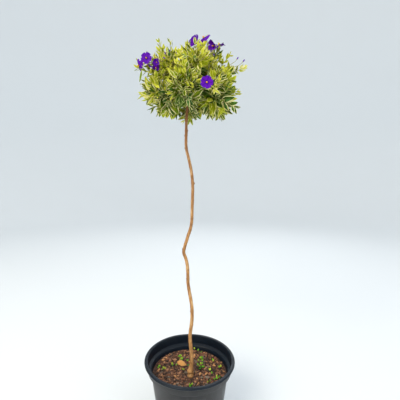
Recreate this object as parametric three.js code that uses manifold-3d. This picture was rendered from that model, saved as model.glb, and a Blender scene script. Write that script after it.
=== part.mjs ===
// A shrub grown as a standard, in its nursery pot: a slim wavy stem carries one round, loosely clipped
// head of leaves. Units are millimetres, +Z is up, and the origin is the middle of the pot's flat underside.
// +X is the plant's right and -Y its front.
//
// The pot, the compost, the stem, the boughs and the leafy masses of the head are solids of their own,
// each one closed and clear of its neighbours.

import * as THREE from "three";
import { mergeVertices } from "three/addons/utils/BufferGeometryUtils.js";
import Module from "manifold-3d";

// ---- driving dimensions -------------------------------------------------------------------------------------

const POT_HEIGHT = 175;
const POT_LIP_RADIUS = 120; // outside of the rolled lip
const POT_FOOT_RADIUS = 80; // outside of the wall at the floor
const POT_WALL_TOP_RADIUS = 102.5; // outside of the wall where it meets the step under the collar
const POT_WALL = 1.8;
const POT_FLOOR = 2.2;
const POT_SIDES = 46;

const COLLAR_HEIGHT = 24; // from the step up to the top of the lip
const COLLAR_RADIUS = 111;
const STEP_DROP = 3; // the step between wall and collar slopes by this much
const LIP_THICKNESS = 6;

const DRAIN_HOLES = 8;
const DRAIN_HOLE_RADIUS = 6;
const DRAIN_CIRCLE_RADIUS = 62;

const COMPOST_LEVEL = 137;
const COMPOST_UNEVENNESS = 3;
const COMPOST_FLAT_RADIUS = 30; // level ground round the stem's foot
const CLEARANCE = 0.3; // between solids that touch in the real thing

const STEM_FOOT_RADIUS = 4.9;
const STEM_TIP_RADIUS = 3.5;
const STEM_KNOB = 2.4; // how much the swollen foot adds
const STEM_KNOB_RISE = 12; // its height above the compost
const STEM_KNOB_SPREAD = 12;
const STEM_SECTIONS = 46;
const STEM_SIDES = 10;
const HEAD_KNUCKLE_RADIUS = 8; // the ball of old pruning cuts that the boughs spring from

const BOUGH_BASE_RADIUS = 3.1;
const BOUGH_TIP_RADIUS = 2.1;
const BOUGH_SIDES = 8;
const BOUGH_SECTIONS = 4;

const HEART_RADIUS = 30; // no leaves within this distance of the knuckle
const STEM_ROOM = 13; // nor this close to the stem below it
const MASS_GAP = 3; // between neighbouring masses

// The stem's bends, from its flat foot on the compost up to the knuckle: [x, y, height].
const STEM_BENDS = [
  [3, -23, COMPOST_LEVEL + CLEARANCE],
  [2, -22, 148],
  [5, -21, 172],
  [5, -18, 199],
  [1, -14, 233],
  [3, -12, 257],
  [6, -10, 277],
  [6, -6, 311],
  [0, -2, 348],
  [-4, 0, 371],
  [-5, 1, 408],
  [-8, 2, 432],
  [-16, 3, 458],
  [-11, 4, 476],
  [-4, 5, 500],
  [4, 6, 525],
  [7, 4, 576],
  [8, 0, 638],
  [5, 2, 670],
  [-1, 4, 701],
  [-9, 4, 736],
  [-9, 1, 775],
  [-8, 0, 820],
  [-5, -2, 848],
  [-4, -2, 868],
];

// The lower ring and the upper ring of leafy masses that make up the head.
const HEAD_X = 3;
const LOWER_RING = {
  name: "head_lower",
  count: 6,
  turn: 20,
  height: 884,
  reach: 74,
  size: [56, 50, 60],
  detail: 4,
  standing: false,
};
const UPPER_RING = {
  name: "head_upper",
  count: 4,
  turn: 10,
  height: 938,
  reach: 50,
  size: [58, 54, 57],
  detail: 5,
  standing: true,
};
const UNEVENNESS = 0.075;
const UNDERCUT = 0.22; // how much the outward reach of a mass shrinks towards its underside

// Shoots, flower stalks and leaf tips that stand out of the head, by the point each one reaches.
const TIPS = {
  tall_shoot: [-84, -24, 1017],
  second_shoot: [-50, -40, 1011],
  left_flowers: [-147, -12, 944],
  left_top_flower: [-118, -18, 982],
  left_leaves: [-135, 8, 881],
  top_flowers: [44, -18, 1028],
  top_right_flower: [83, -22, 1009],
  right_twig: [155, -6, 947],
  right_leaf: [142, 14, 893],
  right_top_leaves: [115, -10, 984],
  right_low_leaf: [122, -24, 834],
  low_right: [48, -46, 806],
  low_far_right: [86, -30, 808],
  low_middle: [11, -62, 813],
  low_left: [-80, -34, 814],
  front: [-14, -132, 905],
  front_right: [64, -112, 880],
  back: [22, 133, 912],
  back_left: [-76, 104, 884],
  back_low: [-20, 70, 812],
  back_shoot: [34, 64, 1010],
};
const TIP_SPREAD = 13; // degrees: how wide a spur is where it leaves the mass

// ---- colours ------------------------------------------------------------------------------------------------

const finish = (color, roughness) => new THREE.MeshStandardMaterial({ color, roughness, metalness: 0 });

const MATERIALS = {
  pot: finish("#23262b", 0.45),
  compost: finish("#5b4237", 0.95),
  bark: finish("#b0814f", 0.8),
  lowerLeaves: finish("#7f9a3c", 0.6),
  upperLeaves: finish("#b3c04f", 0.6),
};

// ---- shared shapes ------------------------------------------------------------------------------------------

const wasm = await Module();
wasm.setup();

function solidOf(geometry) {
  const plain = new THREE.BufferGeometry().setAttribute("position", geometry.getAttribute("position"));
  if (geometry.index) plain.setIndex(geometry.index);
  const merged = mergeVertices(plain, 1e-3);
  return new wasm.Manifold(
    new wasm.Mesh({
      numProp: 3,
      vertProperties: new Float32Array(merged.attributes.position.array),
      triVerts: new Uint32Array(merged.index.array),
    }),
  );
}

function geometryOf(solid) {
  const mesh = solid.getMesh();
  return new THREE.BufferGeometry()
    .setAttribute("position", new THREE.BufferAttribute(mesh.vertProperties, 3))
    .setIndex(new THREE.BufferAttribute(mesh.triVerts, 1));
}

// A profile of [radius, height] points turned round +Z.
function turned(profile) {
  const points = profile.map(([radius, height]) => new THREE.Vector2(radius, height));
  return new THREE.LatheGeometry(points, POT_SIDES).rotateX(Math.PI / 2);
}

// A limb: rings of the given radii at the given places, joined and closed by a flat face at each end.
function limb(rings, sides) {
  const positions = [];
  const faces = [];
  rings.forEach(({ centre, across, up, radius }) => {
    for (let side = 0; side < sides; side++) {
      const angle = (2 * Math.PI * side) / sides;
      const point = centre
        .clone()
        .addScaledVector(across, radius * Math.cos(angle))
        .addScaledVector(up, radius * Math.sin(angle));
      positions.push(point.x, point.y, point.z);
    }
  });
  for (let ring = 0; ring + 1 < rings.length; ring++) {
    for (let side = 0; side < sides; side++) {
      const a = ring * sides + side;
      const b = ring * sides + ((side + 1) % sides);
      faces.push(a, b, b + sides, a, b + sides, a + sides);
    }
  }
  const last = (rings.length - 1) * sides;
  for (let side = 1; side + 1 < sides; side++) {
    faces.push(0, side + 1, side);
    faces.push(last, last + side, last + side + 1);
  }
  return new THREE.BufferGeometry()
    .setAttribute("position", new THREE.Float32BufferAttribute(positions, 3))
    .setIndex(faces);
}

// Two directions that make a right-handed frame with a limb's own direction. They turn as little as
// they can from ring to ring, because both come from one fixed direction.
function frameAcross(direction) {
  const across = new THREE.Vector3(1, 0, 0);
  if (Math.abs(direction.x) > 0.9) across.set(0, 1, 0);
  across.addScaledVector(direction, -across.dot(direction)).normalize();
  return { across, up: new THREE.Vector3().crossVectors(direction, across) };
}

// ---- pot and compost ----------------------------------------------------------------------------------------

const STEP_HEIGHT = POT_HEIGHT - COLLAR_HEIGHT;
const wallSlope = (POT_WALL_TOP_RADIUS - POT_FOOT_RADIUS) / STEP_HEIGHT;
const innerWallRadius = (height) => POT_FOOT_RADIUS - POT_WALL + wallSlope * height;

function potGeometry() {
  const lipFoot = POT_HEIGHT - LIP_THICKNESS;
  const shell = turned([
    [0, 0],
    [POT_FOOT_RADIUS - 2, 0],
    [POT_FOOT_RADIUS, 2],
    [POT_WALL_TOP_RADIUS, STEP_HEIGHT - STEP_DROP],
    [COLLAR_RADIUS, STEP_HEIGHT],
    [COLLAR_RADIUS + 1, lipFoot],
    [POT_LIP_RADIUS - 1, lipFoot],
    [POT_LIP_RADIUS, lipFoot + 1.5],
    [POT_LIP_RADIUS, POT_HEIGHT - 1.5],
    [POT_LIP_RADIUS - 1.5, POT_HEIGHT],
    [COLLAR_RADIUS + 2, POT_HEIGHT],
    [COLLAR_RADIUS, POT_HEIGHT - 2],
    [COLLAR_RADIUS - POT_WALL, STEP_HEIGHT + POT_WALL],
    [innerWallRadius(STEP_HEIGHT), STEP_HEIGHT + POT_WALL - STEP_DROP],
    [innerWallRadius(POT_FLOOR), POT_FLOOR],
    [0, POT_FLOOR],
  ]);
  let pot = solidOf(shell);
  for (let hole = 0; hole < DRAIN_HOLES; hole++) {
    const angle = (2 * Math.PI * hole) / DRAIN_HOLES;
    const drill = new THREE.CylinderGeometry(DRAIN_HOLE_RADIUS, DRAIN_HOLE_RADIUS, 4 * POT_FLOOR, 14)
      .rotateX(Math.PI / 2)
      .translate(DRAIN_CIRCLE_RADIUS * Math.cos(angle), DRAIN_CIRCLE_RADIUS * Math.sin(angle), POT_FLOOR / 2);
    pot = pot.subtract(solidOf(drill));
  }
  return geometryOf(pot);
}

// The compost fills the pot to its level. Its top is uneven, and flat round the stem's foot.
function compostGeometry() {
  const [footX, footY] = STEM_BENDS[0];
  const topRadius = innerWallRadius(COMPOST_LEVEL) - CLEARANCE;
  const shares = [1, 0.86, 0.68, 0.5, 0.3, 0];
  const rise = (x, y) => {
    const fromFoot = Math.hypot(x - footX, y - footY);
    const away = THREE.MathUtils.smoothstep(fromFoot, COMPOST_FLAT_RADIUS, 2 * COMPOST_FLAT_RADIUS);
    return away * COMPOST_UNEVENNESS * Math.sin(x / 17 + 1) * Math.cos(y / 21 + x / 60);
  };
  const profile = shares.map((share) => [share * topRadius, COMPOST_LEVEL]);
  const floor = POT_FLOOR + CLEARANCE;
  const geometry = turned([[0, floor], [innerWallRadius(floor) - CLEARANCE, floor], ...profile]);
  const place = geometry.getAttribute("position");
  for (let i = 0; i < place.count; i++) {
    const [x, y, z] = [place.getX(i), place.getY(i), place.getZ(i)];
    const isInnerTop = z > COMPOST_LEVEL - 1 && Math.hypot(x, y) < 0.97 * topRadius;
    if (isInnerTop) place.setZ(i, z + rise(x, y));
  }
  return geometry;
}

// ---- stem and boughs ----------------------------------------------------------------------------------------

const stemCurve = new THREE.CatmullRomCurve3(STEM_BENDS.map((bend) => new THREE.Vector3(...bend)));
const knuckle = stemCurve.getPoint(1);

function stemRadius(point) {
  const rise = point.z - COMPOST_LEVEL;
  const share = rise / (knuckle.z - COMPOST_LEVEL);
  const taper = THREE.MathUtils.lerp(STEM_FOOT_RADIUS, STEM_TIP_RADIUS, Math.pow(share, 0.6));
  const knob = STEM_KNOB * Math.exp(-(((rise - STEM_KNOB_RISE) / STEM_KNOB_SPREAD) ** 2));
  const intoBall = HEAD_KNUCKLE_RADIUS ** 2 - point.distanceToSquared(knuckle);
  return Math.max(taper + knob, intoBall > 0 ? Math.sqrt(intoBall) : 0);
}

function stemGeometry() {
  const rings = [];
  const addRing = (centre, direction, radius) => rings.push({ centre, radius, ...frameAcross(direction) });
  for (let section = 0; section <= STEM_SECTIONS; section++) {
    const share = section / STEM_SECTIONS;
    const centre = stemCurve.getPointAt(share);
    const direction = section ? stemCurve.getTangentAt(share) : new THREE.Vector3(0, 0, 1);
    addRing(centre, direction, stemRadius(centre));
  }
  const upward = stemCurve.getTangentAt(1);
  for (const share of [0.4, 0.75, 0.95]) {
    const centre = knuckle.clone().addScaledVector(upward, share * HEAD_KNUCKLE_RADIUS);
    addRing(centre, upward, HEAD_KNUCKLE_RADIUS * Math.sqrt(1 - share * share));
  }
  return limb(rings, STEM_SIDES);
}

// A bough runs straight from the knuckle to the inner face of its mass.
function boughGeometry(direction) {
  const rings = [];
  for (let section = 0; section <= BOUGH_SECTIONS; section++) {
    const share = section / BOUGH_SECTIONS;
    const distance = THREE.MathUtils.lerp(HEAD_KNUCKLE_RADIUS + CLEARANCE, HEART_RADIUS - CLEARANCE, share);
    const radius = THREE.MathUtils.lerp(BOUGH_BASE_RADIUS, BOUGH_TIP_RADIUS, share);
    const centre = knuckle.clone().addScaledVector(direction, distance);
    rings.push({ centre, radius, ...frameAcross(direction) });
  }
  return limb(rings, BOUGH_SIDES);
}

// ---- leafy masses -------------------------------------------------------------------------------------------

function ringOfMasses(ring) {
  return Array.from({ length: ring.count }, (_, index) => {
    const angle = THREE.MathUtils.degToRad(ring.turn + (360 * index) / ring.count);
    const outward = new THREE.Vector3(Math.cos(angle), Math.sin(angle), 0);
    const centre = new THREE.Vector3(HEAD_X, 0, ring.height).addScaledVector(outward, ring.reach);
    return { ...ring, name: `${ring.name}_${index + 1}`, number: index + 1, centre, outward };
  });
}

const masses = [...ringOfMasses(LOWER_RING), ...ringOfMasses(UPPER_RING)];

function nearestMass(point) {
  return masses.reduce((a, b) => (a.centre.distanceTo(point) < b.centre.distanceTo(point) ? a : b));
}

// The flat faces that keep a mass off its neighbours, off the knuckle and off the stem, each as an
// outward normal and its distance from the mass's centre.
function wallsOf(mass) {
  const walls = masses
    .filter((other) => other !== mass)
    .map((other) => {
      const normal = other.centre.clone().sub(mass.centre);
      return { distance: (normal.length() - MASS_GAP) / 2, normal: normal.normalize() };
    });
  const toKnuckle = knuckle.clone().sub(mass.centre);
  walls.push({ distance: toKnuckle.length() - HEART_RADIUS, normal: toKnuckle.clone().normalize() });
  if (!mass.standing) {
    const toStem = toKnuckle.clone().setZ(0);
    walls.push({ distance: toStem.length() - STEM_ROOM, normal: toStem.clone().normalize() });
  }
  return walls;
}

// A mass's own uneven surface: an ellipsoid that faces outward, with swellings that differ from mass
// to mass.
function unevenRadius(mass, direction) {
  const sideways = new THREE.Vector3(-mass.outward.y, mass.outward.x, 0);
  const [deep, wide, tall] = mass.size;
  const deepHere = deep * (1 + UNDERCUT * Math.min(0, direction.z));
  const part = new THREE.Vector3(
    direction.dot(mass.outward) / deepHere,
    direction.dot(sideways) / wide,
    direction.z / tall,
  );
  const { x, y, z } = direction;
  const k = mass.number + (mass.standing ? 7 : 0);
  const swelling =
    Math.sin(3.1 * x + 1.7 * k) * Math.cos(2.7 * y - 0.9 * k) +
    0.7 * Math.sin(4.9 * z + 2.3 * k) * Math.cos(4.3 * x + k) +
    0.5 * Math.sin(7.7 * y + 5.9 * z + 1.3 * k);
  return (1 + UNEVENNESS * swelling) / part.length();
}

function massGeometry(mass) {
  const tips = Object.values(TIPS)
    .map((tip) => new THREE.Vector3(...tip))
    .filter((tip) => nearestMass(tip) === mass)
    .map((tip) => ({ reach: tip.distanceTo(mass.centre), toward: tip.clone().sub(mass.centre).normalize(), tip }));
  const walls = wallsOf(mass);
  const geometry = mergeVertices(
    new THREE.IcosahedronGeometry(1, mass.detail).deleteAttribute("normal").deleteAttribute("uv"),
  );
  const place = geometry.getAttribute("position");
  const direction = new THREE.Vector3();
  const spread = THREE.MathUtils.degToRad(TIP_SPREAD);
  for (let i = 0; i < place.count; i++) {
    direction.fromBufferAttribute(place, i).normalize();
    let radius = unevenRadius(mass, direction);
    for (const { reach, toward } of tips) {
      const near = Math.exp(-((direction.angleTo(toward) / spread) ** 2));
      radius += Math.max(0, reach - radius) * near;
    }
    for (const { normal, distance } of walls) {
      const facing = direction.dot(normal);
      if (facing > 0) radius = Math.min(radius, distance / facing);
    }
    place.setXYZ(i, ...direction.multiplyScalar(radius).add(mass.centre).toArray());
  }
  for (const { tip } of tips) {
    let nearest = 0;
    const distanceTo = (i) => direction.fromBufferAttribute(place, i).distanceTo(tip);
    for (let i = 1; i < place.count; i++) if (distanceTo(i) < distanceTo(nearest)) nearest = i;
    place.setXYZ(nearest, tip.x, tip.y, tip.z);
  }
  return geometry;
}

// ---- the plant in its pot -----------------------------------------------------------------------------------

const plant = new THREE.Group();

function add(name, geometry, material) {
  const mesh = new THREE.Mesh(geometry, material);
  mesh.name = name;
  plant.add(mesh);
}

add("pot", potGeometry(), MATERIALS.pot);
add("compost", compostGeometry(), MATERIALS.compost);
add("stem", stemGeometry(), MATERIALS.bark);
for (const mass of masses) {
  const direction = mass.centre.clone().sub(knuckle).normalize();
  add(mass.name.replace("head", "bough"), boughGeometry(direction), MATERIALS.bark);
  add(mass.name, massGeometry(mass), mass.standing ? MATERIALS.upperLeaves : MATERIALS.lowerLeaves);
}

export default plant;
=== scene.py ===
"""A variegated potato bush grown as a standard, in its nursery pot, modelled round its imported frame.

Every size is in metres and every place is in the frame's own axes: +Z up, +X the plant's right, -Y its front.
The pot, the stem and the leafy masses of the head come from the frame's nodes, which say where everything is.
"""

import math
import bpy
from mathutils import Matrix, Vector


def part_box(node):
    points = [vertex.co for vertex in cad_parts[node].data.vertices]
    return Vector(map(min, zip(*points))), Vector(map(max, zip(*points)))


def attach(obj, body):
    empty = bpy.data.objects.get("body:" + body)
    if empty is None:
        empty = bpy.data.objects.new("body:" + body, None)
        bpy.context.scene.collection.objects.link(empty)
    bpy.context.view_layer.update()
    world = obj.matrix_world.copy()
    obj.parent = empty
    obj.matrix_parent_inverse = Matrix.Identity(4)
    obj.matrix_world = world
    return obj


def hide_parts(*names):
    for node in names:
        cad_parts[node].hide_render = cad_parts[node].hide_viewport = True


bl_info = {
    "name": "Standard Potato Bush",
    "version": (1, 0, 0),
    "blender": (4, 5, 0),
    "location": "3D View > Sidebar > Potato Bush",
    "description": "Models a variegated potato bush, grown as a standard in a pot, round its frame",
    "category": "Object",
}

import bmesh
import bpy
import numpy as np
from bpy.props import FloatProperty, FloatVectorProperty, IntProperty, PointerProperty
from bpy.types import Operator, Panel, PropertyGroup
from mathutils import Matrix, Vector, noise
from mathutils.bvhtree import BVHTree

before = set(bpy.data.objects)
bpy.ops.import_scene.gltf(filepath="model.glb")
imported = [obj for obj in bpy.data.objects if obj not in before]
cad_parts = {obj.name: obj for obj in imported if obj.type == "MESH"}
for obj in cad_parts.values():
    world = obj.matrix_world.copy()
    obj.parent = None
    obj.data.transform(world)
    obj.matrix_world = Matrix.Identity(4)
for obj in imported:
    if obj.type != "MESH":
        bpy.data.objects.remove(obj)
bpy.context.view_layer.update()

MM = 0.001
GOLDEN_ANGLE = math.radians(137.5)
UP = Vector((0, 0, 1))
LOWER_MASSES = sorted(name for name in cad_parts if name.startswith("head_lower"))
UPPER_MASSES = sorted(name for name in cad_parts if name.startswith("head_upper"))
BOUGHS = sorted(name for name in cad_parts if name.startswith("bough_"))


def linear(code):
    """The linear colour of an sRGB hex code."""
    values = [int(code[i : i + 2], 16) / 255 for i in (1, 3, 5)]
    return tuple(v / 12.92 if v <= 0.04045 else ((v + 0.055) / 1.055) ** 2.4 for v in values)


# ---- settings ------------------------------------------------------------------------------------


class PotSettings(PropertyGroup):
    """The pot's sizes that its CAD box doesn't give, and its colour."""

    sides: IntProperty(name="Sides", description="Facets round the pot", default=144, min=24, max=256)
    foot_radius: FloatProperty(
        name="Foot Radius", description="Outside of the wall at the floor", default=0.080, unit="LENGTH"
    )
    wall_top_radius: FloatProperty(
        name="Wall Top Radius", description="Outside of the wall under the collar",
        default=0.1025, unit="LENGTH",
    )
    wall: FloatProperty(name="Wall", description="Thickness of the wall", default=0.0018, unit="LENGTH")
    collar_height: FloatProperty(
        name="Collar Height", description="From the step up to the top of the lip",
        default=0.024, unit="LENGTH",
    )
    collar_inset: FloatProperty(
        name="Collar Inset", description="How far the collar stands in from the lip",
        default=0.009, unit="LENGTH",
    )
    lip: FloatProperty(name="Lip", description="Thickness of the rolled lip", default=0.006, unit="LENGTH")
    drain_holes: IntProperty(
        name="Drain Holes", description="Holes through the floor",
        default=8, min=0, max=16,
    )
    drain_circle: FloatProperty(
        name="Drain Circle", description="Distance of the drain holes from the middle",
        default=0.062, unit="LENGTH",
    )
    drain_radius: FloatProperty(
        name="Drain Radius", description="Radius of a drain hole", default=0.006, unit="LENGTH"
    )
    colour: FloatVectorProperty(
        name="Plastic", description="Colour of the pot", subtype="COLOR", default=linear("#15171b")
    )
    # The inside's colour is darker and bluer than the outside's: painted shade inside the pot, and a painted
    # bluish sky reflection where it also covers the top of the lip.
    inside_shade_and_reflection_colour: FloatVectorProperty(
        name="Inside", description="Colour of the pot's rinsed and shade-painted inside",
        subtype="COLOR", default=linear("#0a1622"),
    )


class CompostSettings(PropertyGroup):
    """What lies on top of the compost."""

    seed: IntProperty(name="Seed", description="Which scatter of chips is drawn", default=11)
    chips: IntProperty(name="Chips", description="Pieces of bark on the surface", default=1600)
    chip_length: FloatProperty(
        name="Chip Length", description="Length of a middling piece of bark", default=0.0072, unit="LENGTH"
    )
    peat: FloatVectorProperty(
        name="Peat", description="Colour of the fines between the chips",
        subtype="COLOR", default=linear("#33231c"),
    )


class StemSettings(PropertyGroup):
    """The stem's skin."""

    sides: IntProperty(name="Sides", description="Facets round the stem", default=28, min=8, max=64)
    step: FloatProperty(
        name="Step", description="Distance between two rings of the stem",
        default=0.0018, unit="LENGTH",
    )
    furrow: FloatProperty(
        name="Furrow", description="Depth of the bark's furrows",
        default=0.00032, unit="LENGTH",
    )
    bark: FloatVectorProperty(
        name="Bark", description="Colour of the bark",
        subtype="COLOR", default=linear("#bb8a51"),
    )
    old_bark_and_head_shade: FloatVectorProperty(
        name="Old Bark and Shade", description="Colour of the bark under the head",
        subtype="COLOR", default=linear("#7d4c24"),
    )


class HeadSettings(PropertyGroup):
    """How the head branches and how it is dressed with leaves."""

    seed: IntProperty(name="Seed", description="Which head is grown", default=4)
    spacing: FloatProperty(
        name="Twig Spacing", description="Distance between the ends of two twigs",
        default=0.0178, unit="LENGTH",
    )
    inset: FloatProperty(
        name="Twig Inset", description="How far inside the head's outline a twig ends",
        default=0.015, unit="LENGTH",
    )
    dressed: FloatProperty(
        name="Dressed Length", description="How much of a twig's end carries leaves",
        default=0.045, unit="LENGTH",
    )
    leaf_step: FloatProperty(
        name="Leaf Step", description="Distance along a twig from leaf to leaf",
        default=0.0070, unit="LENGTH",
    )
    leaf_length: FloatProperty(
        name="Leaf Length", description="Length of a full-grown leaf", default=0.036, unit="LENGTH"
    )


class FlowerSettings(PropertyGroup):
    """The flowers."""

    seed: IntProperty(name="Seed", description="How the flowers are spun and their stalks bent", default=7)
    width: FloatProperty(
        name="Flower Width", description="Across an open flower",
        default=0.0315, unit="LENGTH",
    )
    petal: FloatVectorProperty(
        name="Petal", description="Colour of the petals", subtype="COLOR", default=linear("#5904a2")
    )


class StageSettings(PropertyGroup):
    """The floor, the lights and the camera."""

    camera_place: FloatVectorProperty(
        name="Camera Place", description="Where the camera stands",
        subtype="TRANSLATION", default=(0, -0.80, 0.6625),
    )
    camera_drop: FloatProperty(
        name="Camera Drop", description="How far below level the camera looks",
        default=math.radians(0.17), subtype="ANGLE",
    )
    lens: FloatProperty(name="Lens", description="Focal length on a 36 mm sensor", default=26.95)
    shift: FloatVectorProperty(
        name="Shift", description="How far the lens is shifted, in picture widths",
        size=2, default=(0.026, -0.06),
    )
    key_power: FloatProperty(name="Key Light", description="Power of the main light", default=70)
    fill_power: FloatProperty(name="Fill Light", description="Power of the second light", default=17)
    floor: FloatVectorProperty(
        name="Floor", description="Colour of the floor",
        subtype="COLOR", default=linear("#e0e6eb"),
    )


# ---- materials -----------------------------------------------------------------------------------


def add_node(tree, kind, settings, inputs):
    """Adds a node. settings are its own properties; inputs are its sockets, each a value or an output."""
    node = tree.nodes.new(kind)
    for name, value in settings.items():
        setattr(node, name, value)
    for name, value in inputs.items():
        if isinstance(value, bpy.types.NodeSocket):
            tree.links.new(value, node.inputs[name])
        else:
            node.inputs[name].default_value = value
    return node


def new_material(name, colour, roughness, **values):
    """A material with a plain shader, and its node tree."""
    material = bpy.data.materials.new(name)
    material.use_nodes = True
    tree = material.node_tree
    shader = tree.nodes["Principled BSDF"]
    shader.inputs["Base Color"].default_value = (*colour, 1)
    shader.inputs["Roughness"].default_value = roughness
    for socket, value in values.items():
        shader.inputs[socket.replace("_", " ")].default_value = value
    return material, tree, shader


def per_millimetre(size):
    """The scale of a pattern whose grains are this many millimetres across."""
    return 1000 / size


def object_place(tree):
    """The place on the piece itself."""
    return add_node(tree, "ShaderNodeTexCoord", {}, {}).outputs["Object"]


def stretched(tree, place, stretch):
    """The same place with its height shrunk, so that a pattern read there runs up the piece."""
    return add_node(tree, "ShaderNodeMapping", {}, {"Vector": place, "Scale": (1, 1, stretch)}).outputs[0]


def grains(tree, place, size, detail, roughness=0.5):
    """Noise with grains of a size in millimetres."""
    inputs = {"Vector": place, "Scale": per_millimetre(size), "Detail": detail, "Roughness": roughness}
    return add_node(tree, "ShaderNodeTexNoise", {}, inputs).outputs[0]


def ramp(tree, value, start, end, top, bottom=0.0):
    """A value from bottom to top, as the given one goes from start to end."""
    inputs = {"Value": value, "From Min": start, "From Max": end, "To Min": bottom, "To Max": top}
    return add_node(tree, "ShaderNodeMapRange", {}, inputs).outputs[0]


def mixed(tree, share, base, over):
    """A colour with another one laid over it by a share."""
    inputs = {0: share, 6: base, 7: over}
    return add_node(tree, "ShaderNodeMix", {"data_type": "RGBA"}, inputs).outputs[2]


def raised(tree, strength, depth, height):
    """The surface's normal, tilted by a relief."""
    inputs = {"Strength": strength, "Distance": depth, "Height": height}
    return add_node(tree, "ShaderNodeBump", {}, inputs).outputs[0]


def opaque(colour):
    """The colour with full alpha, as a node wants it."""
    return (*colour, 1)


def moulded_polypropylene(name, colour, most_dust, gloss):
    """Black polypropylene, injection moulded: slightly shiny, and dull where it is dusty."""
    material, tree, shader = new_material(name, colour, 0.42, IOR=1.49, Specular_IOR_Level=gloss)
    place = object_place(tree)
    dust = grains(tree, stretched(tree, place, 0.35), 26, 6, 0.65)
    dusty = ramp(tree, dust, 0.4, 0.7, most_dust)
    # The mould's spark-eroded grain is about 0.4 mm, drawn here at 1.2 mm so that it shows.
    grain = grains(tree, place, 1.2, 3)
    coloured = mixed(tree, dusty, opaque(colour), opaque(linear("#3d3c3b")))
    tree.links.new(coloured, shader.inputs["Base Color"])
    tree.links.new(ramp(tree, dust, 0.35, 0.7, 0.56, 0.34), shader.inputs["Roughness"])
    tree.links.new(raised(tree, 0.25, 0.12 * MM, grain), shader.inputs["Normal"])
    return material


def damp_peat(colour):
    """Peat and bark fines, damp. Dark crumbs with a few browner ones, and no shine."""
    material, tree, shader = new_material("Damp peat and bark fines", colour, 0.95)
    crumbs = grains(tree, object_place(tree), 3.5, 5)
    brown = ramp(tree, crumbs, 0.45, 0.7, 1)
    coloured = mixed(tree, brown, opaque(colour), opaque(linear("#6b4b3b")))
    tree.links.new(coloured, shader.inputs["Base Color"])
    tree.links.new(raised(tree, 0.8, 1.5 * MM, crumbs), shader.inputs["Normal"])
    return material


def fissured_bark(colour, shaded):
    """Thin tan bark, split lengthwise as the stem grew. Fine streaks run up it, and scars are darker. It
    darkens towards the head: partly browner old bark, and partly painted shade from the head.
    """
    material, tree, shader = new_material("Thin fissured bark", colour, 0.78)
    place = object_place(tree)
    streaks = grains(tree, stretched(tree, place, 0.09), 1.6, 5, 0.7)
    patches = grains(tree, stretched(tree, place, 0.25), 7, 4, 0.6)
    height = add_node(tree, "ShaderNodeSeparateXYZ", {}, {"Vector": place}).outputs["Z"]
    scar = add_node(tree, "ShaderNodeAttribute", {"attribute_name": "scar"}, {}).outputs["Fac"]
    low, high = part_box("stem")
    layers = (
        # Darker towards the head: partly browner old bark, and partly the head's shadow painted in.
        (ramp(tree, height, low.z + 0.3, high.z - 0.04, 0.85), shaded),
        (ramp(tree, patches, 0.5, 0.36, 0.8), linear("#875a30")),
        (ramp(tree, streaks, 0.46, 0.64, 0.85), linear("#6b4323")),
        (ramp(tree, patches, 0.53, 0.64, 0.6), linear("#d9b887")),
        (scar, linear("#5a3a20")),
    )
    coloured = opaque(colour)
    for share, over in layers:
        coloured = mixed(tree, share, coloured, opaque(over))
    tree.links.new(coloured, shader.inputs["Base Color"])
    tree.links.new(raised(tree, 0.5, 0.3 * MM, streaks), shader.inputs["Normal"])
    return material


def plain_material(name, code, roughness, **values):
    """A surface of small joined pieces, whose colour is dealt out piece by piece."""
    return new_material(name, linear(code), roughness, **values)[0]


# ---- making meshes -------------------------------------------------------------------------------


def deselect_all():
    """Nothing is selected, so that the next operator acts only on what is added."""
    if bpy.context.object and bpy.context.object.mode != "OBJECT":
        bpy.ops.object.mode_set(mode="OBJECT")
    bpy.ops.object.select_all(action="DESELECT")


def select_where(test):
    """In edit mode, selects the vertices whose place passes the test, with their edges and faces."""
    shape = bmesh.from_edit_mesh(bpy.context.edit_object.data)
    bpy.ops.mesh.select_mode(type="VERT")
    bpy.ops.mesh.select_all(action="DESELECT")
    for vertex in shape.verts:
        vertex.select = test(vertex.co)
    shape.select_flush(True)
    bmesh.update_edit_mesh(bpy.context.edit_object.data)


def finished(piece, name, materials):
    """Leaves edit mode, puts the piece's place into its mesh and names it."""
    if piece.mode != "OBJECT":
        bpy.ops.object.mode_set(mode="OBJECT")
    bpy.ops.object.transform_apply(location=True, rotation=True, scale=True)
    piece.name = name
    piece.data.name = name
    for material in materials:
        piece.data.materials.append(material)
    return piece


def drawn_up(profile, sides):
    """A closed turned shape: a disc drawn up ring by ring through the profile's radii and heights."""
    deselect_all()
    (radius, height), rest = profile[0], profile[1:]
    start = (0, 0, height)
    bpy.ops.mesh.primitive_circle_add(vertices=sides, radius=radius, fill_type="NGON", location=start)
    piece = bpy.context.object
    bpy.ops.object.transform_apply(location=True)
    bpy.ops.object.mode_set(mode="EDIT")
    for next_radius, next_height in rest:
        bpy.ops.mesh.extrude_region_move(TRANSFORM_OT_translate={"value": (0, 0, next_height - height)})
        share = next_radius / radius
        bpy.ops.transform.resize(value=(share, share, 1), center_override=(0, 0, next_height))
        radius, height = next_radius, next_height
    bpy.ops.mesh.select_all(action="SELECT")
    bpy.ops.mesh.normals_make_consistent(inside=False)
    bpy.ops.object.mode_set(mode="OBJECT")
    return piece


def hand_over(piece, slot, *nodes):
    """Says which nodes the piece replaces and that it rides on the one body. The slot is not used."""
    if nodes:
        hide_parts(*nodes)
    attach(piece, "root")


def apply_modifier(piece, kind, settings):
    """Adds a modifier with its settings and applies it."""
    bpy.context.view_layer.objects.active = piece
    modifier = piece.modifiers.new(kind.title(), kind)
    for name, value in settings.items():
        setattr(modifier, name, value)
    bpy.ops.object.modifier_apply(modifier=modifier.name)


def arc(centre, radius, start, end, steps):
    """Points of an arc in a profile, from one angle in degrees to another."""
    angles = [math.radians(start + (end - start) * i / steps) for i in range(steps + 1)]
    return [(centre[0] + radius * math.cos(a), centre[1] + radius * math.sin(a)) for a in angles]


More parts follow.
